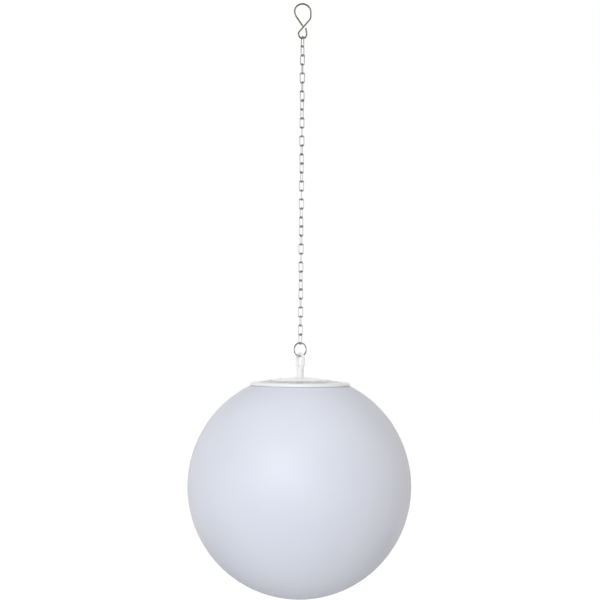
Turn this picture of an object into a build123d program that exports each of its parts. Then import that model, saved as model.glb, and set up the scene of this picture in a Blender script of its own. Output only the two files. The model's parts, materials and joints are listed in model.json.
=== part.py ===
from build123d import *

import os
from math import asin, atan2, cos, degrees, hypot, pi, radians, sin, sqrt

# Solar hanging globe light, in millimetres, +Z up.
# The origin is the inside top of the top hook's loop, which bears on what the lamp hangs from.
# +X points to the viewer's right and +Y away from the viewer.

# Top hook, bent from one wire
hook_wire = 1.8
hook_upper_bend = 9.1
hook_shoulder_bend = 4.2
hook_shoulder_out = 4.9
hook_shoulder_drop = 13.6
hook_lower_bend = 4.6
hook_drop = 36.8
hook_crossing_drop = 25.0
hook_tip_out = 3.4
hook_tip_rise = 10.8
hook_end_gap = 0.3
hook_turn = 62.2

# Chain of separate oval links, each turned against the one above
link_count = 34
link_wire = 1.4
link_opening = 3.4
link_pitch = 10.1
link_turn = 103.8
link_facing_viewer = 5
hang_play = 0.15

# Jump ring between the chain and the lamp
ring_wire = 1.6
ring_radius = 7.6
ring_turn = 102.2
ring_slit = 0.2
ring_slit_angle = 62.0

# Hanger: an eye on a stem, with a threaded end below
eye_bar = 3.6
eye_opening_width = 5.4
eye_opening_height = 12.1
eye_turn = 73.0
stem_diameter = 7.7
stem_length = 9.85
stem_dimple_diameter = 1.8
stem_dimple_depth = 0.8
stem_dimple_drop = 1.9
stem_dimple_turn = 8.0
thread_diameter = 6.0
thread_play = 0.2
thread_end = 1.5
washer_diameter = 18.0
washer_thickness = 1.2
nut_across_flats = 10.0
nut_height = 5.0
nut_play = 0.05

# Panel frame: a low hollow cone round the stem, inside the solar panel's ring
frame_radius = 32.2
frame_height = 3.0
frame_wall = 2.2
frame_lip_rounding = 0.4
hub_height = 3.36
hub_flat_radius = 4.6
hub_boss_radius = 9.0

# Solar panel: a thin ring let into the cover's slope, open where the push button is
panel_inner_rib = 1.2
panel_outer_rib = 1.9
panel_gap_angle = 20.0
window_sink = 0.1
window_thickness = 0.6
cell_thickness = 0.3
cell_margin = 0.9
cell_gap = 0.6
cell_count = 17
solar_board_thickness = 0.5
fit_play = 0.15

# Seal round the panel frame
seal_width = 1.4
seal_sink = 0.35

# Top cover: collar, rim, a boss for the hanger, and a skirt that carries the bayonet
cover_stand = 0.24
cover_slope_fall = 2.48
cover_shoulder_width = 2.4
cover_shoulder_fall = 1.9
cover_height = 5.85
cover_wall = 2.5
cover_boss_radius = 12.0
cover_boss_depth = 2.0
skirt_gap = 0.25
skirt_wall = 2.4
skirt_tail = 2.0
neck_seal_margin = 2.4
neck_seal_width = 3.4
neck_seal_play = 0.05
neck_seal_gap = 0.2
rim_gap = 2.7
rim_overhang = 0.8

# Globe shade and its bayonet
globe_radius = 125.0
globe_wall = 2.5
globe_flange = 4.5
lid_gap = 0.3
neck_play = 0.6
lug_count = 3
lug_reach = 4.0
lug_height = 3.0
lug_angle = 18.0
lug_first_azimuth = 90.0
bayonet_play = 0.4
bayonet_turn = 30.0
notch_margin_angle = 1.5
notch_margin = 0.7
stop_angle = 3.0
stop_gap_angle = 1.0
stop_height = 2.4

# Push switch in the cover, behind and left of the stem
button_radius = 2.8
button_azimuth = 124.0
button_stand = 1.3
button_dome = 0.4
button_play = 0.3
button_travel = 1.0
button_flange = 0.9
button_flange_height = 1.2
switch_play = 0.2
switch_wall = 0.4
switch_height = 7.8
switch_gap = 0.2

# Light housing under the cover
housing_wall = 2.2
housing_floor = 2.4
housing_gap = 0.1
ear_count = 3
ear_first_azimuth = 64.0
ear_radius = 3.6
ear_thickness = 3.0
ear_drop = 5.25
screw_radius = 1.25
screw_play = 0.1
screw_head_radius = 2.6
screw_head_height = 2.0
screw_bite = 4.5

# Circuit board and what is on it
board_thickness = 1.6
board_room = 2.5
board_ledge = 1.5
parts_room = 3.5
lead_radius = 0.6
lead_play = 0.3
lead_spacing = 5.0
lead_margin = 1.0
lead_drop = 1.6
lead_bend = 2.0
lead_foot_margin = 6.0
parts_margin = 12.0
parts_spread = 50.0
coil_radius = 3.2
coil_height = 4.5
capacitor_radius = 2.5
capacitor_height = 6.0
chip_length = 5.0
chip_width = 4.0
chip_height = 1.5
plug_length = 7.5
plug_width = 4.5
plug_height = 5.0

# Battery, its bay, contacts and cover
cell_radius = 7.25
cell_length = 50.5
cap_radius = 2.75
cap_height = 1.2
bay_play = 0.4
bay_wall = 1.5
contact_thickness = 0.5
contact_size = 10.0
contact_room = 1.9
tongue_foot_radius = 3.3
tongue_tip_radius = 1.4
door_lap = 3.35
door_thickness = 2.0
door_screw_margin = 2.15
door_screw_edge = 3.2
door_end = 2.2
door_boss_radius = 2.6
door_boss_gap = 0.45

# LED boards beside the battery cover
led_board_width = 9.0
led_board_thickness = 1.0
led_board_gap = 4.0
led_board_edge = 3.92
led_count = 4
led_length = 3.5
led_width = 2.8
led_height = 1.2

# Heights that follow from the sizes above, from the hook down
hook_bottom = -(hook_drop + hook_wire / 2)
link_first_top = hook_bottom + hook_wire / 2 + hang_play + link_wire / 2
link_reach = link_pitch + link_wire + hang_play
link_bend = (link_opening + link_wire) / 2


def link_top(number):
    """Height of the middle of a link's upper wire."""
    return link_first_top - (number - 1) * link_pitch


def link_bottom(number):
    """Height of the middle of a link's lower wire."""
    return link_top(number) - link_reach


def link_yaw(number):
    """Turn of a link's plane about the chain, 0 facing the viewer."""
    return (number - link_facing_viewer) * link_turn


hook_yaw = link_yaw(1) + hook_turn
ring_yaw = link_yaw(link_count) - ring_turn
eye_yaw = ring_yaw - eye_turn

ring_top = link_bottom(link_count) + link_wire / 2 + hang_play + ring_wire / 2
ring_middle = ring_top - ring_radius
ring_bottom = ring_middle - ring_radius

eye_top = ring_bottom + ring_wire / 2 + hang_play + eye_bar / 2
eye_bottom = eye_top - eye_opening_height - eye_bar
eye_bend = (eye_opening_width + eye_bar) / 2
stem_foot = eye_bottom - stem_length

frame_lip = stem_foot - hub_height
frame_bottom = frame_lip - frame_height
frame_lip_radius = frame_radius - frame_lip_rounding

bay_length = cell_length + 2 * contact_room
bay_width = 2 * (cell_radius + bay_play)
door_screw_offset = bay_length / 2 + door_screw_margin
door_length = 2 * (door_screw_offset + door_end)
door_width = bay_width + 2 * door_lap
door_boss_height = cell_radius + bay_play - contact_size / 2 - door_boss_gap
housing_radius = door_screw_offset + door_screw_edge
housing_bore = housing_radius - housing_wall
ear_ring_radius = housing_radius + housing_gap + ear_radius
led_board_offset = door_width / 2 + led_board_gap + led_board_width / 2
led_board_chord = sqrt(housing_radius**2 - (led_board_offset + led_board_width / 2) ** 2)
led_board_length = 2 * (led_board_chord - led_board_edge)

seat_radius = frame_radius + seal_width + fit_play
switch_radius = button_radius + button_flange + switch_play + switch_wall
button_ring_radius = max(seat_radius, housing_radius) + switch_gap + switch_radius
skirt_bore = max(button_ring_radius + switch_radius, ear_ring_radius + ear_radius) + skirt_gap
skirt_radius = skirt_bore + skirt_wall
neck_seal_inner = skirt_radius + neck_seal_margin
neck_seal_outer = neck_seal_inner + neck_seal_width
rim_bore = neck_seal_outer + rim_gap
cover_rim_radius = rim_bore + cover_wall
cover_slope_radius = cover_rim_radius - cover_shoulder_width
panel_inner = seat_radius + panel_inner_rib
panel_outer = cover_slope_radius - panel_outer_rib
panel_arc = 360 - panel_gap_angle
globe_flat_radius = cover_rim_radius - rim_overhang

cover_lip = frame_lip - cover_stand
cover_edge = cover_lip - cover_slope_fall
cover_bottom = cover_lip - cover_height
plate_under = frame_bottom - cover_wall
boss_under = plate_under - cover_boss_depth
plate_radius = seat_radius + cover_wall
window_bottom_depth = window_sink + window_thickness
cells_bottom_depth = window_bottom_depth + cell_thickness
recess_depth = cells_bottom_depth + solar_board_thickness
slope_run = cover_slope_radius - seat_radius
bore_radius = thread_diameter / 2 + thread_play

globe_flat = cover_bottom - lid_gap
globe_middle = globe_flat - sqrt(globe_radius**2 - globe_flat_radius**2)
flange_under = globe_flat - globe_flange
neck_radius = skirt_radius + neck_play
lug_top = flange_under - bayonet_play
lug_bottom = lug_top - lug_height
skirt_bottom = lug_bottom - skirt_tail
lug_radius = skirt_radius + lug_reach
notch_radius = lug_radius + notch_margin
notch_angle = lug_angle + 2 * notch_margin_angle

nut_top = boss_under - washer_thickness
nut_bottom = nut_top - nut_height
stem_end = nut_bottom - thread_end
board_top = stem_end - board_room
board_bottom = board_top - board_thickness
bay_roof_top = board_bottom - parts_room
bay_roof = bay_roof_top - bay_wall
cell_middle = bay_roof - bay_play - cell_radius
floor_top = cell_middle - cell_radius - bay_play
floor_bottom = floor_top - housing_floor
housing_top = plate_under - housing_gap
board_radius = housing_bore - fit_play
parts_ring_radius = board_radius - parts_margin
ear_top = plate_under - ear_drop
ear_bottom = ear_top - ear_thickness
pilot_radius = screw_radius + screw_play


def frame_surface(radius):
    """Height of the panel frame's cone at a distance from the axis."""
    return stem_foot - hub_height * (radius - hub_flat_radius) / (frame_lip_radius - hub_flat_radius)


def cover_surface(radius):
    """Height of the cover's sloping top at a distance from the axis."""
    return cover_lip - cover_slope_fall * (radius - seat_radius) / slope_run


lead_ring_radius = plate_radius + lead_radius + lead_margin
lead_foot_radius = board_radius - lead_foot_margin
lead_run = plate_under - lead_drop
lead_top = cover_surface(hypot(lead_ring_radius, lead_spacing / 2) + lead_radius) - recess_depth

button_x = button_ring_radius * cos(radians(button_azimuth))
button_y = button_ring_radius * sin(radians(button_azimuth))
button_top = cover_surface(button_ring_radius) + button_stand
button_shoulder = plate_under - button_play
button_bore = button_radius + button_play


def around(count, first_azimuth):
    """Evenly spaced azimuths, in degrees."""
    return [first_azimuth + 360 / count * step for step in range(count)]


def turned(points):
    """A solid of revolution about the lamp's axis from (radius, height) corners."""
    return revolve(Plane.XZ * make_face(Polyline(*points, close=True)), axis=Axis.Z)


def post(radius, bottom, top, x=0.0, y=0.0):
    """An upright cylinder between two heights."""
    return Pos(x, y, (bottom + top) / 2) * Cylinder(radius, top - bottom)


def block(length, width, bottom, top, x=0.0, y=0.0):
    """An upright box between two heights."""
    return Pos(x, y, (bottom + top) / 2) * Box(length, width, top - bottom)


def washer_form(inner, outer, bottom, top):
    """A flat ring about the lamp's axis."""
    return post(outer, bottom, top) - post(inner, bottom, top)


def sector(inner, outer, bottom, top, angle, azimuth):
    """A piece of a flat ring, centred on an azimuth."""
    corners = [(inner, bottom), (outer, bottom), (outer, top), (inner, top)]
    face = Plane.XZ * make_face(Polyline(*corners, close=True))
    return Rot(0, 0, azimuth - angle / 2) * revolve(face, axis=Axis.Z, revolution_arc=angle)


def oval_loop(bend, reach, bar):
    """A closed round-bar oval in the XZ plane about the origin: two legs and two half-round bends."""
    half_leg = reach / 2 - bend
    bend_section = Pos(bend, 0, half_leg) * Circle(bar / 2)
    upper_bend = revolve(bend_section, axis=Axis((0, 0, half_leg), (0, -1, 0)), revolution_arc=180)
    legs = [Pos(side * bend, 0, 0) * Cylinder(bar / 2, 2 * half_leg) for side in (-1, 1)]
    return legs[0] + legs[1] + upper_bend + Rot(180, 0, 0) * upper_bend


def tangent_run(start, end):
    """The straight run that touches two bends (x, z, radius, turn), as its two ends and its heading."""
    x0, z0, radius0, turn0 = start
    x1, z1, radius1, turn1 = end
    span = hypot(x1 - x0, z1 - z0)
    heading = atan2(z1 - z0, x1 - x0) - asin((turn1 * radius1 - turn0 * radius0) / span)
    left = Vector(-sin(heading), 0, cos(heading))
    leave = Vector(x0, 0, z0) - left * (turn0 * radius0)
    arrive = Vector(x1, 0, z1) - left * (turn1 * radius1)
    return leave, arrive, heading


def bend_arc(bend, run_in, run_out):
    """The arc round a bend, between the run that reaches it and the run that leaves it."""
    x, z, radius, turn = bend
    swing = (turn * (run_out[2] - run_in[2])) % (2 * pi)
    angle = run_in[2] - turn * pi / 2 + turn * swing / 2
    middle = Vector(x + radius * cos(angle), 0, z + radius * sin(angle))
    return ThreePointArc(run_in[1], middle, run_out[0])


def top_hook():
    """One wire: closed upper loop, crossing, open lower loop."""
    clockwise, anticlockwise = -1, 1
    upper = (0, hook_wire / 2 - hook_upper_bend, hook_upper_bend, clockwise)
    shoulder = (hook_shoulder_out, -hook_shoulder_drop, hook_shoulder_bend, clockwise)
    lower = (0, hook_bottom + hook_lower_bend, hook_lower_bend, anticlockwise)
    tip = (hook_tip_out, -hook_drop + hook_tip_rise, 0, 0)

    shank = tangent_run(shoulder, lower)
    slope = (shank[1].X - shank[0].X) / (shank[1].Z - shank[0].Z)
    crossing_x = shank[0].X + slope * (-hook_crossing_drop - shank[0].Z)
    crossing = (crossing_x, -hook_crossing_drop, 0, 0)

    strand = tangent_run(crossing, upper)
    flank = tangent_run(upper, shoulder)
    tail = tangent_run(lower, tip)
    strand_way = (strand[1] - strand[0]).normalized()
    loose_end = strand[0] + strand_way * (hook_wire / 2 + hook_end_gap)
    path = Wire([
        Line(loose_end, strand[1]),
        bend_arc(upper, strand, flank),
        Line(flank[0], flank[1]),
        bend_arc(shoulder, flank, shank),
        Line(shank[0], shank[1]),
        bend_arc(lower, shank, tail),
        Line(tail[0], tail[1]),
    ])
    wire_section = Plane(loose_end, z_dir=strand_way) * Circle(hook_wire / 2)
    return Rot(0, 0, hook_yaw) * sweep(wire_section, path=path)


def chain_link(number):
    """One oval link at its place in the chain."""
    middle = (link_top(number) + link_bottom(number)) / 2
    return Pos(0, 0, middle) * Rot(0, 0, link_yaw(number)) * oval_loop(link_bend, link_reach, link_wire)


def jump_ring():
    """A wire ring with a fine butt slit."""
    hoop = Rot(90, 0, 0) * Torus(ring_radius, ring_wire / 2)
    slit = Rot(0, ring_slit_angle, 0) * Pos(ring_radius, 0, 0) * Box(2 * ring_wire, 2 * ring_wire, ring_slit)
    return Pos(0, 0, ring_middle) * Rot(0, 0, ring_yaw) * (hoop - slit)


def hanger_eye():
    """The white eye, its stem and its threaded end."""
    loop = Pos(0, 0, (eye_top + eye_bottom) / 2) * oval_loop(eye_bend, eye_top - eye_bottom, eye_bar)
    stem = post(stem_diameter / 2, stem_foot, eye_bottom)
    thread = post(thread_diameter / 2, stem_end, stem_foot)
    dimple_reach = stem_diameter / 2 - stem_dimple_depth / 2
    dimple = Rot(0, 0, eye_yaw - stem_dimple_turn) * Pos(dimple_reach, 0, eye_bottom - stem_dimple_drop)
    dimple = dimple * Rot(0, 90, 0) * Cylinder(stem_dimple_diameter / 2, stem_dimple_depth)
    return Rot(0, 0, eye_yaw) * loop + stem + thread - dimple


def hanger_washer():
    return washer_form(bore_radius, washer_diameter / 2, nut_top, boss_under)


def hanger_nut():
    corner_radius = nut_across_flats / 2 / cos(pi / 6)
    hexagon = Pos(0, 0, nut_bottom) * extrude(RegularPolygon(corner_radius, 6), nut_height)
    return hexagon - post(thread_diameter / 2 + nut_play, nut_bottom, nut_top)


def panel_frame():
    """White cone round the stem: hollow below, with an edge wall and a boss that stand on the cover."""
    inner_wall = frame_radius - frame_wall
    return turned([
        (bore_radius, frame_bottom),
        (hub_boss_radius, frame_bottom),
        (hub_boss_radius, frame_surface(hub_boss_radius) - frame_wall),
        (inner_wall, frame_surface(inner_wall) - frame_wall),
        (inner_wall, frame_bottom),
        (frame_radius, frame_bottom),
        (frame_radius, frame_lip - frame_lip_rounding),
        (frame_lip_radius, frame_lip),
        (hub_flat_radius, stem_foot),
        (bore_radius, stem_foot),
    ])


def slope_layer(top_depth, bottom_depth, margin, angle, azimuth):
    """A piece of a thin ring that follows the cover's slope, between two depths below its surface."""
    inner = panel_inner + margin
    outer = panel_outer - margin
    corners = [
        (inner, cover_surface(inner) - top_depth),
        (outer, cover_surface(outer) - top_depth),
        (outer, cover_surface(outer) - bottom_depth),
        (inner, cover_surface(inner) - bottom_depth),
    ]
    face = Plane.XZ * make_face(Polyline(*corners, close=True))
    return Rot(0, 0, azimuth - angle / 2) * revolve(face, axis=Axis.Z, revolution_arc=angle)


def panel_layer(top_depth, bottom_depth, margin):
    """One layer of the solar panel, with its opening at the push button."""
    margin_angle = degrees(margin / panel_inner)
    return slope_layer(top_depth, bottom_depth, margin, panel_arc - 2 * margin_angle, button_azimuth + 180)


def solar_cells():
    """Solar cells side by side round the panel, each a piece of the ring."""
    share = (panel_arc - 2 * degrees(cell_margin / panel_inner)) / cell_count
    cell_angle = share - degrees(cell_gap / panel_inner)
    first = button_azimuth + 180 - share * (cell_count - 1) / 2
    return Compound([
        slope_layer(window_bottom_depth, cells_bottom_depth, cell_margin, cell_angle, first + share * step)
        for step in range(cell_count)
    ])


def panel_seal():
    """Rubber ring in the gap between panel frame and cover."""
    return washer_form(frame_radius, frame_radius + seal_width, frame_bottom, cover_lip - seal_sink)


def lead_sides():
    return (-lead_spacing / 2, lead_spacing / 2)


def panel_leads():
    """Two wires from the solar board, down beside the housing, over its wall and to the circuit board."""
    leads = []
    for x in lead_sides():
        path = FilletPolyline(
            (x, -lead_ring_radius, lead_top),
            (x, -lead_ring_radius, lead_run),
            (x, -lead_foot_radius, lead_run),
            (x, -lead_foot_radius, board_top),
            radius=lead_bend,
        )
        start = Plane((x, -lead_ring_radius, lead_top), z_dir=(0, 0, -1))
        leads.append(sweep(start * Circle(lead_radius), path=path))
    return Compound(leads)


def lugs():
    return [
        sector(skirt_radius - skirt_wall / 2, lug_radius, lug_bottom, lug_top, lug_angle, azimuth)
        for azimuth in around(lug_count, lug_first_azimuth)
    ]


def ear_places():
    return [
        (ear_ring_radius * cos(radians(azimuth)), ear_ring_radius * sin(radians(azimuth)))
        for azimuth in around(ear_count, ear_first_azimuth)
    ]


def top_cover():
    """White collar: slope with the panel's recess, rim, seat, skirt with lugs, and bosses below."""
    slope_under = cover_surface(plate_radius) - cover_wall
    shoulder_under = cover_surface(rim_bore) - cover_wall
    shoulder_start = (cover_slope_radius, cover_edge)
    shoulder_end = (cover_rim_radius, cover_edge - cover_shoulder_fall)
    bulge = 1 - sqrt(0.5)
    shoulder_middle = (
        cover_rim_radius - bulge * cover_shoulder_width,
        cover_edge - bulge * cover_shoulder_fall,
    )
    inside = Polyline(
        shoulder_end,
        (cover_rim_radius, cover_bottom),
        (rim_bore, cover_bottom),
        (rim_bore, shoulder_under),
        (plate_radius, slope_under),
        (plate_radius, plate_under),
        (cover_boss_radius, plate_under),
        (cover_boss_radius, boss_under),
        (bore_radius, boss_under),
        (bore_radius, frame_bottom),
        (seat_radius, frame_bottom),
        (seat_radius, cover_lip),
        shoulder_start,
    )
    shoulder = ThreePointArc(shoulder_start, shoulder_middle, shoulder_end)
    shell = revolve(Plane.XZ * make_face([inside, shoulder]), axis=Axis.Z)
    skirt_top = cover_surface(skirt_radius) - cover_wall / 2
    cover = shell + washer_form(skirt_bore, skirt_radius, skirt_bottom, skirt_top)
    for lug in lugs():
        cover = cover + lug
    for x, y in ear_places():
        cover = cover + post(ear_radius, ear_top, frame_bottom - cover_wall / 2, x, y)
        cover = cover - post(pilot_radius, ear_top, ear_top + screw_bite, x, y)
    boss_top = cover_surface(button_ring_radius) - cover_wall / 2
    cover = cover + post(switch_radius, plate_under, boss_top, button_x, button_y)
    cover = cover - post(button_bore, plate_under, button_top, button_x, button_y)
    for x in lead_sides():
        cover = cover - post(lead_radius + lead_play, plate_under, cover_lip, x, -lead_ring_radius)
    return cover - panel_layer(0, recess_depth, 0)


def neck_seal():
    """Rubber ring under the cover's slope, just clear of the globe's flat top."""
    bottom = globe_flat + neck_seal_gap
    return turned([
        (neck_seal_inner, bottom),
        (neck_seal_outer, bottom),
        (neck_seal_outer, cover_surface(neck_seal_outer) - cover_wall - neck_seal_play),
        (neck_seal_inner, cover_surface(neck_seal_inner) - cover_wall - neck_seal_play),
    ])


def globe_shade():
    """Blow-moulded ball: a thick flange round its neck, with notches for the lugs and stops below."""
    inner_radius = globe_radius - globe_wall
    flange_outer = sqrt(inner_radius**2 - (flange_under - globe_middle) ** 2)
    outer_lowest = (0, globe_middle - globe_radius)
    inner_lowest = (0, globe_middle - inner_radius)
    outline = [
        ThreePointArc(outer_lowest, (globe_radius, globe_middle), (globe_flat_radius, globe_flat)),
        Line((globe_flat_radius, globe_flat), (neck_radius, globe_flat)),
        Line((neck_radius, globe_flat), (neck_radius, flange_under)),
        Line((neck_radius, flange_under), (flange_outer, flange_under)),
        ThreePointArc((flange_outer, flange_under), (inner_radius, globe_middle), inner_lowest),
        Line(inner_lowest, outer_lowest),
    ]
    ball = revolve(Plane.XZ * make_face(outline), axis=Axis.Z)
    stop_turn = lug_angle / 2 + stop_gap_angle + stop_angle / 2
    far_stop_turn = bayonet_turn + notch_angle / 2 + stop_angle / 2
    for azimuth in around(lug_count, lug_first_azimuth):
        notch_middle = azimuth - bayonet_turn
        notch_inner = neck_radius - neck_play
        ball = ball - sector(notch_inner, notch_radius, flange_under, globe_flat, notch_angle, notch_middle)
        for turn in (stop_turn, -far_stop_turn):
            stop_bottom = flange_under - stop_height
            stop_middle = azimuth + turn
            ball = ball + sector(neck_radius, lug_radius, stop_bottom, flange_under, stop_angle, stop_middle)
    return ball


def switch_button():
    """Round push button with a domed top and a flange that keeps it in."""
    flange_bottom = button_shoulder - button_flange_height
    corners = [
        (0, flange_bottom),
        (button_radius + button_flange, flange_bottom),
        (button_radius + button_flange, button_shoulder),
        (button_radius, button_shoulder),
        (button_radius, button_top - button_dome),
        (button_radius - button_dome, button_top),
        (0, button_top),
    ]
    return Pos(button_x, button_y, 0) * turned(corners)


def switch_body():
    """Can under the cover that holds the button's flange and its contacts."""
    well_bottom = button_shoulder - button_flange_height - button_travel - button_play
    can = post(switch_radius, plate_under - switch_height, plate_under, button_x, button_y)
    return can - post(switch_radius - switch_wall, well_bottom, plate_under, button_x, button_y)


def light_housing():
    """Round box under the cover: wall slotted for the leads, floor, battery bay, board ledge, screw ears."""
    wall = washer_form(housing_bore, housing_radius, floor_bottom, housing_top)
    floor = post(housing_bore, floor_bottom, floor_top)
    ledge = washer_form(housing_bore - board_ledge, housing_bore, board_bottom - board_ledge, board_bottom)
    bay = block(bay_length + 2 * bay_wall, bay_width + 2 * bay_wall, floor_top, bay_roof_top)
    hollow = block(bay_length, bay_width, floor_bottom, bay_roof)
    housing = wall + floor + ledge + (bay & post(housing_bore, floor_top, bay_roof_top)) - hollow
    for x, y in ear_places():
        azimuth = degrees(atan2(y, x))
        arm_length = ear_ring_radius - housing_bore - housing_wall / 2
        arm = Rot(0, 0, azimuth) * block(
            arm_length, 2 * ear_radius, ear_bottom, ear_top, x=ear_ring_radius - arm_length / 2
        )
        housing = housing + arm + post(ear_radius, ear_bottom, ear_top, x, y)
    for x, y in ear_places():
        housing = housing - post(pilot_radius, ear_bottom, ear_top, x, y)
    for side in (-1, 1):
        boss = post(door_boss_radius, floor_top, floor_top + door_boss_height, side * door_screw_offset)
        pilot = post(pilot_radius, floor_bottom, floor_top + door_boss_height, side * door_screw_offset)
        housing = housing + boss - pilot
    slot_width = lead_spacing + 2 * (lead_radius + lead_play)
    slot_bottom = lead_run - lead_radius - lead_play
    slot_middle = -(housing_bore + housing_wall / 2)
    return housing - block(slot_width, 2 * housing_wall, slot_bottom, housing_top, y=slot_middle)


def screw(head_bottom, shank_top, x, y):
    """A pan-head screw that points up."""
    head_top = head_bottom + screw_head_height
    head = post(screw_head_radius, head_bottom, head_top, x, y)
    return head + post(screw_radius, head_top, shank_top, x, y)


def housing_screws():
    shank_top = ear_top + screw_bite - screw_play
    return Compound([screw(ear_bottom - screw_head_height, shank_top, x, y) for x, y in ear_places()])


def circuit_board():
    return post(board_radius, board_bottom, board_top)


def board_parts():
    """Coil, capacitor, chip and plug on the circuit board."""
    side = parts_ring_radius * cos(radians(parts_spread / 2))
    ahead = parts_ring_radius * sin(radians(parts_spread / 2))
    coil = post(coil_radius, board_top, board_top + coil_height, side, ahead)
    capacitor = post(capacitor_radius, board_top, board_top + capacitor_height, side, -ahead)
    chip = block(chip_length, chip_width, board_top, board_top + chip_height, -side, ahead)
    plug = block(plug_length, plug_width, board_top, board_top + plug_height, -side, -ahead)
    return Compound([coil, capacitor, chip, plug])


def led_sides():
    return (-led_board_offset, led_board_offset)


def led_boards():
    bottom = floor_bottom - led_board_thickness
    boards = [block(led_board_length, led_board_width, bottom, floor_bottom, y=y) for y in led_sides()]
    return Compound(boards)


def led_chips():
    top = floor_bottom - led_board_thickness
    pitch = led_board_length / led_count
    first = -pitch * (led_count - 1) / 2
    places = [(first + step * pitch, y) for y in led_sides() for step in range(led_count)]
    return Compound([block(led_length, led_width, top - led_height, top, x, y) for x, y in places])


def battery_cell():
    """Round cell lying along X, with the raised cap of its positive end."""
    can_length = cell_length - cap_height
    can = Pos(-cap_height / 2, 0, cell_middle) * Rot(0, 90, 0) * Cylinder(cell_radius, can_length)
    cap = Pos(can_length / 2, 0, cell_middle) * Rot(0, 90, 0) * Cylinder(cap_radius, cap_height)
    return can + cap


def battery_contacts():
    """Two sprung plates at the bay's ends: a flat foot with a domed tongue towards the cell."""
    plates = []
    for side in (-1, 1):
        foot_x = side * (bay_length / 2 - contact_thickness / 2)
        foot = Pos(foot_x, 0, cell_middle) * Box(contact_thickness, contact_size, contact_size)
        tongue_length = contact_room - contact_thickness - fit_play
        tongue_x = side * (bay_length / 2 - contact_thickness - tongue_length / 2)
        tongue = Pos(tongue_x, 0, cell_middle) * Rot(0, side * -90, 0)
        tongue = tongue * Cone(tongue_foot_radius, tongue_tip_radius, tongue_length)
        plates.append(foot + tongue)
    return Compound(plates)


def battery_cover():
    """Flat door under the bay, cut round to the housing, with a tongue that fills the bay's mouth."""
    plate_bottom = floor_bottom - door_thickness
    plate = block(door_length, door_width, plate_bottom, floor_bottom)
    plate = plate & post(housing_radius, plate_bottom, floor_bottom)
    tongue = block(bay_length - 2 * bay_play, bay_width - 2 * bay_play, floor_bottom, floor_top)
    door = plate + tongue
    for side in (-1, 1):
        x = side * door_screw_offset
        door = door - post(pilot_radius, plate_bottom, floor_top, x)
        door = door - post(door_boss_radius, floor_bottom, floor_top, x)
    return door


def cover_screws():
    head_bottom = floor_bottom - door_thickness - screw_head_height
    shank_top = floor_top + door_boss_height - screw_play
    return Compound([screw(head_bottom, shank_top, side * door_screw_offset, 0) for side in (-1, 1)])


def all_parts():
    """Every named piece of the lamp."""
    parts = {"top_hook": top_hook()}
    for number in range(1, link_count + 1):
        parts[f"chain_link_{number:02d}"] = chain_link(number)
    parts["jump_ring"] = jump_ring()
    parts["hanger_eye"] = hanger_eye()
    parts["hanger_washer"] = hanger_washer()
    parts["hanger_nut"] = hanger_nut()
    parts["panel_frame"] = panel_frame()
    parts["solar_board"] = panel_layer(cells_bottom_depth, recess_depth, fit_play)
    parts["solar_cells"] = solar_cells()
    parts["panel_window"] = panel_layer(window_sink, window_bottom_depth, fit_play)
    parts["panel_seal"] = panel_seal()
    parts["top_cover"] = top_cover()
    parts["neck_seal"] = neck_seal()
    parts["switch_button"] = switch_button()
    parts["switch_body"] = switch_body()
    parts["light_housing"] = light_housing()
    parts["housing_screws"] = housing_screws()
    parts["circuit_board"] = circuit_board()
    parts["board_parts"] = board_parts()
    parts["panel_leads"] = panel_leads()
    parts["led_boards"] = led_boards()
    parts["led_chips"] = led_chips()
    parts["battery_cell"] = battery_cell()
    parts["battery_contacts"] = battery_contacts()
    parts["battery_cover"] = battery_cover()
    parts["cover_screws"] = cover_screws()
    parts["globe_shade"] = globe_shade()
    return parts


def main():
    os.makedirs("parts", exist_ok=True)
    for name, shape in all_parts().items():
        export_step(shape, f"parts/{name}.step")


if __name__ == "__main__":
    main()
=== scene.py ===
import json
from math import atan, radians

import bpy
from mathutils import Euler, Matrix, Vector


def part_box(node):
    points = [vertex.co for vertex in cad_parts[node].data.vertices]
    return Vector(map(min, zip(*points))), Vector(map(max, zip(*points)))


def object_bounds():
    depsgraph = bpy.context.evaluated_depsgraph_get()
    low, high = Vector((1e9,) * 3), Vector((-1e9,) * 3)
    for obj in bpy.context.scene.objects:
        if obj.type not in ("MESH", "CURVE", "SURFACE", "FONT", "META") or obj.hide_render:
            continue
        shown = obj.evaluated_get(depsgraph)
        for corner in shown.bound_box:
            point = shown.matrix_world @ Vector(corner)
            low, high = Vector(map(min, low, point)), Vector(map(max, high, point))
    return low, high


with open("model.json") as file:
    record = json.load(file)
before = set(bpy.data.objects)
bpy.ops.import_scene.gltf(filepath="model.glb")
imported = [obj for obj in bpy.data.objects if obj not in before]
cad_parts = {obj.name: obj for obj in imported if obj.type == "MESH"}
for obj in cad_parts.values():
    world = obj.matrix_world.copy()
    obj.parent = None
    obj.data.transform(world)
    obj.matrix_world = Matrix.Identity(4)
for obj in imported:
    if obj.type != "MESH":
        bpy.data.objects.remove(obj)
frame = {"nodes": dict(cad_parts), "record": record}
cad_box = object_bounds()

# Camera, in metres and degrees. The view is square, and its height is measured at the lamp's axis.
# The lens is shifted up by camera_rise, a share of the view's height, and the camera's axis lowered to match.
camera_distance = 1.23
camera_height = -0.380
aim_height = -0.3312
aim_side = -0.0004
view_height = 0.673
camera_rise = 0.072
camera_roll = 0.42
view_depth = 50.0

# Floor, well below the hanging lamp. The lift is a glow that only the camera sees.
floor_drop = 0.9
floor_size = 30.0
floor_colour = (0.925, 0.94, 0.975)
floor_roughness = 0.9
floor_lift = 0.62

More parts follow.
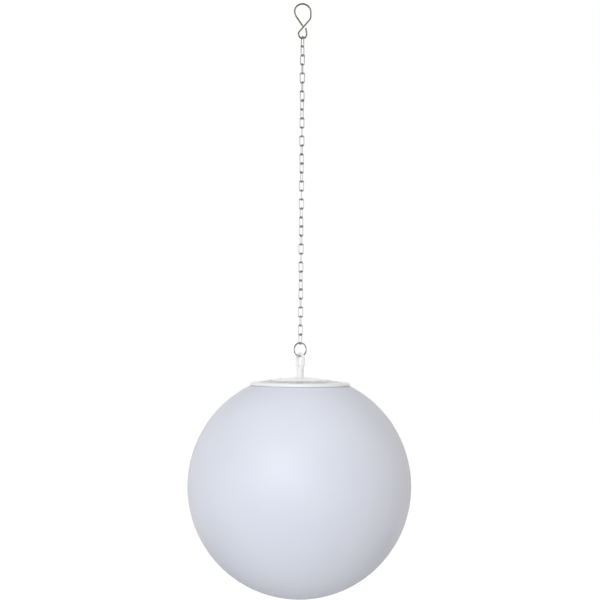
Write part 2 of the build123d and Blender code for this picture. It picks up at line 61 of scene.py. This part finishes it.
# Sky: an even light, and the studio wall that metal and gloss mirror. Heights, the fade above them and the
# reach of the dimmer front are parts of a unit direction.
white = (1.0, 1.0, 1.0)
even_light = (0.508, 0.473, 0.424)
dark_colour = (0.060, 0.054, 0.044)
band_height_front = 0.16
band_height_back = 0.40
band_fade = 0.12
front_share = 0.9
front_reach = -0.4

# Square lamps: place from the middle of the globe and width in metres, power in watts, colour. Gloss mirrors
# one of them.
lamps = {
    "key": ((-0.46, -1.95, 0.82), 1.4, 25.8, (0.84, 0.92, 0.98)),
    "fill": ((-1.6, 1.2, 0.1), 1.0, 3.0, (0.88, 0.92, 1.0)),
    "back": ((0.0, 2.3, 0.25), 0.8, 18.0, (0.90, 0.94, 1.0)),
    "top": ((0.0, 0.0, 1.55), 0.9, 3.2, (0.90, 0.94, 1.0)),
}
mirrored_lamp = "key"

# Bare metal wires, by material slot, and the one piece whose finish isn't its slot's: the jump ring, whose
# nickel is the chain's made darker as painted shade
wire_slots = ("nickel_hook", "nickel_chain")
painted_shade_finish = {"jump_ring": "nickel_ring_painted_shade"}

# Where a noise's values mostly lie, and its detail in colour patches and in grain
noise_low = 0.3
noise_high = 0.7
patch_detail = 4.0
grain_detail = 3.0

# Solar cells: silicon flakes, fingers in radians about the axis, bus lines in metres
flake_size = 0.004
flake_relief = 0.00002
cell_roughness = 0.25
cell_coat = 0.6
silicon_dark = (0.012, 0.018, 0.060)
silicon_light = (0.022, 0.030, 0.085)
finger_angle = radians(2.0)
finger_width = radians(0.22)
finger_colour = (0.42, 0.43, 0.45)
bus_pitch = 0.0058
bus_width = 0.0005
bus_colour = (0.55, 0.55, 0.56)

# Refractive index of the white plastics and of the window
plastic_index = 1.49

# Window over the cells
window_colour = (0.97, 0.98, 0.98)
window_wave = 0.006
window_rough = (0.04, 0.10)
window_relief = 0.00002

# Circuit board: solder mask in two shades, with copper tracks under it
mask_dark = (0.012, 0.085, 0.030)
mask_light = (0.018, 0.110, 0.040)
track_colour = (0.045, 0.190, 0.075)
track_size = 0.006
mask_roughness = 0.35
mask_grain = 0.0012
mask_relief = 0.00003

# Plain finishes: two colours that blend in soft patches, and a grain that stands in relief and sets the
# roughness between two values. Patch, grain and relief are in metres. Drawn metal has its grain five times as
# long along the lamp's axis.
metal = {"Metallic": 1.0}
drawn_metal = {"stretch": (1, 1, 0.2), **metal}
gloss_plastic = {"IOR": plastic_index}
finishes = {
    "nickel_hook": dict(light=(0.59, 0.53, 0.435), dark=(0.43, 0.375, 0.28), patch=0.006,
                        rough=(0.10, 0.20), grain=0.0006, relief=0.00001, **drawn_metal),
    "nickel_chain": dict(light=(0.83, 0.82, 0.81), dark=(0.72, 0.705, 0.68), patch=0.005,
                         rough=(0.09, 0.18), grain=0.0006, relief=0.00001, **drawn_metal),
    # The jump ring: the chain's nickel with the same roughness, darker in colour only as painted shade
    "nickel_ring_painted_shade": dict(light=(0.66, 0.655, 0.64), dark=(0.51, 0.495, 0.47), patch=0.005,
                        rough=(0.09, 0.18), grain=0.0006, relief=0.00001, **drawn_metal),
    "white_gloss": dict(light=(0.93, 0.93, 0.935), dark=(0.91, 0.91, 0.915), patch=0.03,
                        rough=(0.16, 0.26), grain=0.0015, relief=0.000006, **gloss_plastic),
    "globe_white": dict(light=(0.765, 0.785, 0.88), dark=(0.745, 0.765, 0.87), patch=0.05,
                        rough=(0.42, 0.52), grain=0.0012, relief=0.000012, **gloss_plastic),
    "zinc_steel": dict(light=(0.62, 0.63, 0.66), dark=(0.50, 0.51, 0.54), patch=0.003,
                       rough=(0.28, 0.42), grain=0.0005, relief=0.00001, **metal),
    "grey_rubber": dict(light=(0.22, 0.22, 0.23), dark=(0.17, 0.17, 0.18), patch=0.004,
                        rough=(0.55, 0.75), grain=0.0004, relief=0.00002),
    "solar_board": dict(light=(0.74, 0.75, 0.77), dark=(0.66, 0.67, 0.69), patch=0.008,
                        rough=(0.35, 0.50), grain=0.0008, relief=0.00001),
    "white_matte": dict(light=(0.76, 0.76, 0.76), dark=(0.71, 0.71, 0.71), patch=0.010,
                        rough=(0.50, 0.62), grain=0.0005, relief=0.00002),
    "white_board": dict(light=(0.80, 0.80, 0.77), dark=(0.74, 0.74, 0.71), patch=0.006,
                        rough=(0.35, 0.45), grain=0.0008, relief=0.00001),
    "board_parts": dict(light=(0.030, 0.030, 0.032), dark=(0.020, 0.020, 0.022), patch=0.003,
                        rough=(0.45, 0.60), grain=0.0004, relief=0.00002),
    "led_yellow": dict(light=(0.84, 0.60, 0.09), dark=(0.78, 0.53, 0.07), patch=0.001,
                       rough=(0.20, 0.30), grain=0.0003, relief=0.00001),
    "battery_wrap": dict(light=(0.030, 0.155, 0.080), dark=(0.022, 0.125, 0.062), patch=0.008,
                         rough=(0.18, 0.30), grain=0.0010, relief=0.00001),
    "button_grey": dict(light=(0.080, 0.080, 0.083), dark=(0.060, 0.060, 0.062), patch=0.002,
                        rough=(0.55, 0.70), grain=0.0004, relief=0.00002),
    "lead_red": dict(light=(0.300, 0.012, 0.010), dark=(0.240, 0.009, 0.008), patch=0.003,
                     rough=(0.35, 0.48), grain=0.0006, relief=0.00001),
}


def add_node(tree, kind, **settings):
    node = tree.nodes.new(kind)
    for name, value in settings.items():
        setattr(node, name, value)
    return node


def add_maths(tree, operation, *values):
    """A Math node's result. Each value is a constant or another node's output."""
    node = add_node(tree, "ShaderNodeMath", operation=operation)
    for socket, value in zip(node.inputs, values):
        if isinstance(value, bpy.types.NodeSocket):
            tree.links.new(value, socket)
        else:
            socket.default_value = value
    return node.outputs["Value"]


def new_material(name, **sockets):
    """A material with a Principled shader and its constant sockets set."""
    material = bpy.data.materials.new(name)
    material.use_nodes = True
    shader = material.node_tree.nodes["Principled BSDF"]
    for socket, value in sockets.items():
        shader.inputs[socket.replace("_", " ")].default_value = value
    return material, material.node_tree, shader


def scaled_place(tree, size, stretch=(1, 1, 1)):
    """Object coordinates, scaled so that one unit is a feature's size in metres."""
    coordinates = add_node(tree, "ShaderNodeTexCoord")
    mapping = add_node(tree, "ShaderNodeMapping")
    mapping.inputs["Scale"].default_value = [factor / size for factor in stretch]
    tree.links.new(coordinates.outputs["Object"], mapping.inputs["Vector"])
    return mapping.outputs["Vector"]


def noise(tree, size, detail=grain_detail, stretch=(1, 1, 1)):
    texture = add_node(tree, "ShaderNodeTexNoise")
    texture.inputs["Scale"].default_value = 1.0
    texture.inputs["Detail"].default_value = detail
    tree.links.new(scaled_place(tree, size, stretch), texture.inputs["Vector"])
    return texture.outputs["Fac"]


def remap(tree, factor, low, high, start=noise_low, stop=noise_high):
    """A value that goes from low to high while the factor goes from start to stop."""
    node = add_node(tree, "ShaderNodeMapRange")
    for name, value in (("From Min", start), ("From Max", stop), ("To Min", low), ("To Max", high)):
        node.inputs[name].default_value = value
    tree.links.new(factor, node.inputs["Value"])
    return node.outputs["Result"]


def mix_colours(tree, factor, first, second):
    """Blend of two colours, each a constant or another node's output."""
    node = add_node(tree, "ShaderNodeMix", data_type="RGBA")
    tree.links.new(factor, node.inputs["Factor"])
    for socket, colour in (("A", first), ("B", second)):
        target = next(item for item in node.inputs if item.name == socket and item.type == "RGBA")
        if isinstance(colour, bpy.types.NodeSocket):
            tree.links.new(colour, target)
        else:
            target.default_value = (*colour, 1)
    return next(item for item in node.outputs if item.type == "RGBA")


def bump(tree, shader, height, distance):
    node = add_node(tree, "ShaderNodeBump")
    node.inputs["Strength"].default_value = 1.0
    node.inputs["Distance"].default_value = distance
    tree.links.new(height, node.inputs["Height"])
    tree.links.new(node.outputs["Normal"], shader.inputs["Normal"])


def plain_material(name, light, dark, patch, rough, grain, relief, stretch=(1, 1, 1), **sockets):
    """A surface with faint colour patches, uneven gloss and a fine grain in relief."""
    material, tree, shader = new_material(name, **sockets)
    patches = noise(tree, patch, detail=patch_detail)
    colour = mix_colours(tree, remap(tree, patches, 0.0, 1.0), light, dark)
    tree.links.new(colour, shader.inputs["Base Color"])
    grains = noise(tree, grain, stretch=stretch)
    tree.links.new(remap(tree, grains, *rough), shader.inputs["Roughness"])
    bump(tree, shader, grains, relief)
    return material


def round_the_axis(tree):
    """Angle about the lamp's axis in radians, and distance from it in metres."""
    flat = scaled_place(tree, 1.0, stretch=(1, 1, 0))
    parts = add_node(tree, "ShaderNodeSeparateXYZ")
    tree.links.new(flat, parts.inputs["Vector"])
    angle = add_maths(tree, "ARCTAN2", parts.outputs["Y"], parts.outputs["X"])
    reach = add_node(tree, "ShaderNodeVectorMath", operation="LENGTH")
    tree.links.new(flat, reach.inputs[0])
    return angle, reach.outputs["Value"]


def lines(tree, value, pitch, width):
    """1 on thin lines that a value crosses at even steps, 0 between them."""
    wrap = add_maths(tree, "PINGPONG", value, pitch / 2)
    return add_maths(tree, "LESS_THAN", wrap, width / 2)


def solar_cell_material():
    """Dark blue silicon with fine silver fingers across the ring and wider bus lines round it."""
    material, tree, shader = new_material("solar_cells", Roughness=cell_roughness, Coat_Weight=cell_coat)
    flakes = add_node(tree, "ShaderNodeTexVoronoi")
    flakes.inputs["Scale"].default_value = 1.0
    tree.links.new(scaled_place(tree, flake_size), flakes.inputs["Vector"])
    silicon = mix_colours(tree, flakes.outputs["Distance"], silicon_dark, silicon_light)
    angle, reach = round_the_axis(tree)
    fingers = mix_colours(tree, lines(tree, angle, finger_angle, finger_width), silicon, finger_colour)
    buses = mix_colours(tree, lines(tree, reach, bus_pitch, bus_width), fingers, bus_colour)
    tree.links.new(buses, shader.inputs["Base Color"])
    bump(tree, shader, flakes.outputs["Distance"], flake_relief)
    return material


def window_material():
    """Clear resin with a faint unevenness."""
    clear = {"IOR": plastic_index, "Transmission_Weight": 1.0, "Base_Color": (*window_colour, 1)}
    material, tree, shader = new_material("clear_window", **clear)
    waves = noise(tree, window_wave)
    tree.links.new(remap(tree, waves, *window_rough), shader.inputs["Roughness"])
    bump(tree, shader, waves, window_relief)
    return material


def circuit_material():
    """Solder mask with a pattern of lighter copper tracks under it."""
    material, tree, shader = new_material("green_board", Roughness=mask_roughness)
    tracks = add_node(tree, "ShaderNodeTexBrick")
    for socket, colour in (("Color1", mask_dark), ("Color2", mask_light), ("Mortar", track_colour)):
        tracks.inputs[socket].default_value = (*colour, 1)
    tracks.inputs["Scale"].default_value = 1.0
    tree.links.new(scaled_place(tree, track_size), tracks.inputs["Vector"])
    tree.links.new(tracks.outputs["Color"], shader.inputs["Base Color"])
    bump(tree, shader, noise(tree, mask_grain), mask_relief)
    return material


def make_materials():
    """One finish for each material slot of the record, and one for the jump ring: the chain's nickel, darker
    as painted shade.
    """
    materials = {name: plain_material(name, **finish) for name, finish in finishes.items()}
    materials["solar_cells"] = solar_cell_material()
    materials["clear_window"] = window_material()
    materials["green_board"] = circuit_material()
    return materials


def dress_nodes(materials):
    for row in frame["record"]["subparts"]:
        slots = frame["nodes"][row["node"]].data.materials
        slots.clear()
        slots.append(materials[painted_shade_finish.get(row["node"], row["material_slot"])])


def floor_material():
    """Pale floor that camera rays see lifted to white, with the lamp's shadow kept."""
    matt = {"Roughness": floor_roughness, "Specular_IOR_Level": 0.0}
    colours = {"Base_Color": (*floor_colour, 1), "Emission_Color": (*white, 1)}
    material, tree, shader = new_material("studio_floor", **matt, **colours)
    rays = add_node(tree, "ShaderNodeLightPath")
    lift = add_maths(tree, "MULTIPLY", rays.outputs["Is Camera Ray"], floor_lift)
    tree.links.new(lift, shader.inputs["Emission Strength"])
    return material


def make_floor():
    mesh = bpy.data.meshes.new("studio_floor")
    half = floor_size / 2
    height = cad_box[0].z - floor_drop
    corners = [(x, y, height) for x, y in ((-half, -half), (half, -half), (half, half), (-half, half))]
    mesh.from_pydata(corners, [], [(0, 1, 2, 3)])
    mesh.materials.append(floor_material())
    floor = bpy.data.objects.new("studio_floor", mesh)
    floor.visible_glossy = False
    bpy.context.scene.collection.objects.link(floor)


def studio_band(tree):
    """What gloss mirrors: a white wall all round, lower and dimmer in front, with dark above and below it."""
    front = -1.0
    back = 1.0
    coordinates = add_node(tree, "ShaderNodeTexCoord")
    parts = add_node(tree, "ShaderNodeSeparateXYZ")
    tree.links.new(coordinates.outputs["Generated"], parts.inputs["Vector"])
    height = remap(tree, parts.outputs["Y"], band_height_front, band_height_back, front, back)
    beyond = add_maths(tree, "SUBTRACT", add_maths(tree, "ABSOLUTE", parts.outputs["Z"]), height)
    wall = remap(tree, beyond, low=1.0, high=0.0, start=0.0, stop=band_fade)
    strength = remap(tree, parts.outputs["Y"], low=front_share, high=1.0, start=front, stop=front_reach)
    return mix_colours(tree, add_maths(tree, "MULTIPLY", wall, strength), dark_colour, white)


def make_sky():
    """White to the camera and through glass, a studio band to mirrors, and an even soft light to the rest."""
    world = bpy.data.worlds.new("studio")
    world.use_nodes = True
    bpy.context.scene.world = world
    tree = world.node_tree
    rays = add_node(tree, "ShaderNodeLightPath")
    lit = mix_colours(tree, rays.outputs["Is Glossy Ray"], even_light, studio_band(tree))
    seen = add_maths(tree, "MAXIMUM", rays.outputs["Is Camera Ray"], rays.outputs["Is Transmission Ray"])
    tree.links.new(mix_colours(tree, seen, lit, white), tree.nodes["Background"].inputs["Color"])


def area_light(name, place, target, size, power, colour):
    """A square lamp that faces a target, and that neither the camera nor glass nor gloss shows."""
    light = bpy.data.lights.new(name, "AREA")
    light.energy = power
    light.size = size
    light.color = colour
    holder = bpy.data.objects.new(name, light)
    holder.location = place
    holder.rotation_euler = (target - place).to_track_quat("-Z", "Y").to_euler()
    holder.visible_camera = False
    holder.visible_transmission = False
    holder.visible_glossy = False
    bpy.context.scene.collection.objects.link(holder)
    return holder


def wire_pieces():
    """The bare metal wires, as a group that a lamp leaves out: they mirror the studio band alone."""
    group = bpy.data.collections.new("wire_pieces")
    for row in frame["record"]["subparts"]:
        if row["material_slot"] in wire_slots:
            group.objects.link(frame["nodes"][row["node"]])
    for member in group.collection_objects:
        member.light_linking.link_state = "EXCLUDE"
    return group


def make_lights():
    """Lamps that face the middle of the globe. One of them shows in gloss, but not in the wires."""
    globe_low, globe_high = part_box("globe_shade")
    middle = (globe_low + globe_high) / 2
    for name, (place, size, power, colour) in lamps.items():
        holder = area_light(name, middle + Vector(place), middle, size, power, colour)
        if name == mirrored_lamp:
            holder.visible_glossy = True
            holder.light_linking.receiver_collection = wire_pieces()


def make_camera():
    camera = bpy.data.cameras.new("camera")
    camera.sensor_fit = "HORIZONTAL"
    holder = bpy.data.objects.new("camera", camera)
    holder.location = (0, -camera_distance, camera_height)
    camera.angle = 2 * atan(view_height / 2 / camera_distance)
    camera.shift_y = camera_rise
    axis_height = aim_height - camera_rise * view_height
    facing = (Vector((aim_side, 0, axis_height)) - holder.location).to_track_quat("-Z", "Y")
    holder.rotation_mode = "QUATERNION"
    holder.rotation_quaternion = facing @ Euler((0, 0, radians(camera_roll))).to_quaternion()
    camera.clip_end = view_depth
    bpy.context.scene.collection.objects.link(holder)
    bpy.context.scene.camera = holder


bpy.context.scene.view_settings.view_transform = "Standard"
dress_nodes(make_materials())
make_floor()
make_sky()
make_lights()
make_camera()
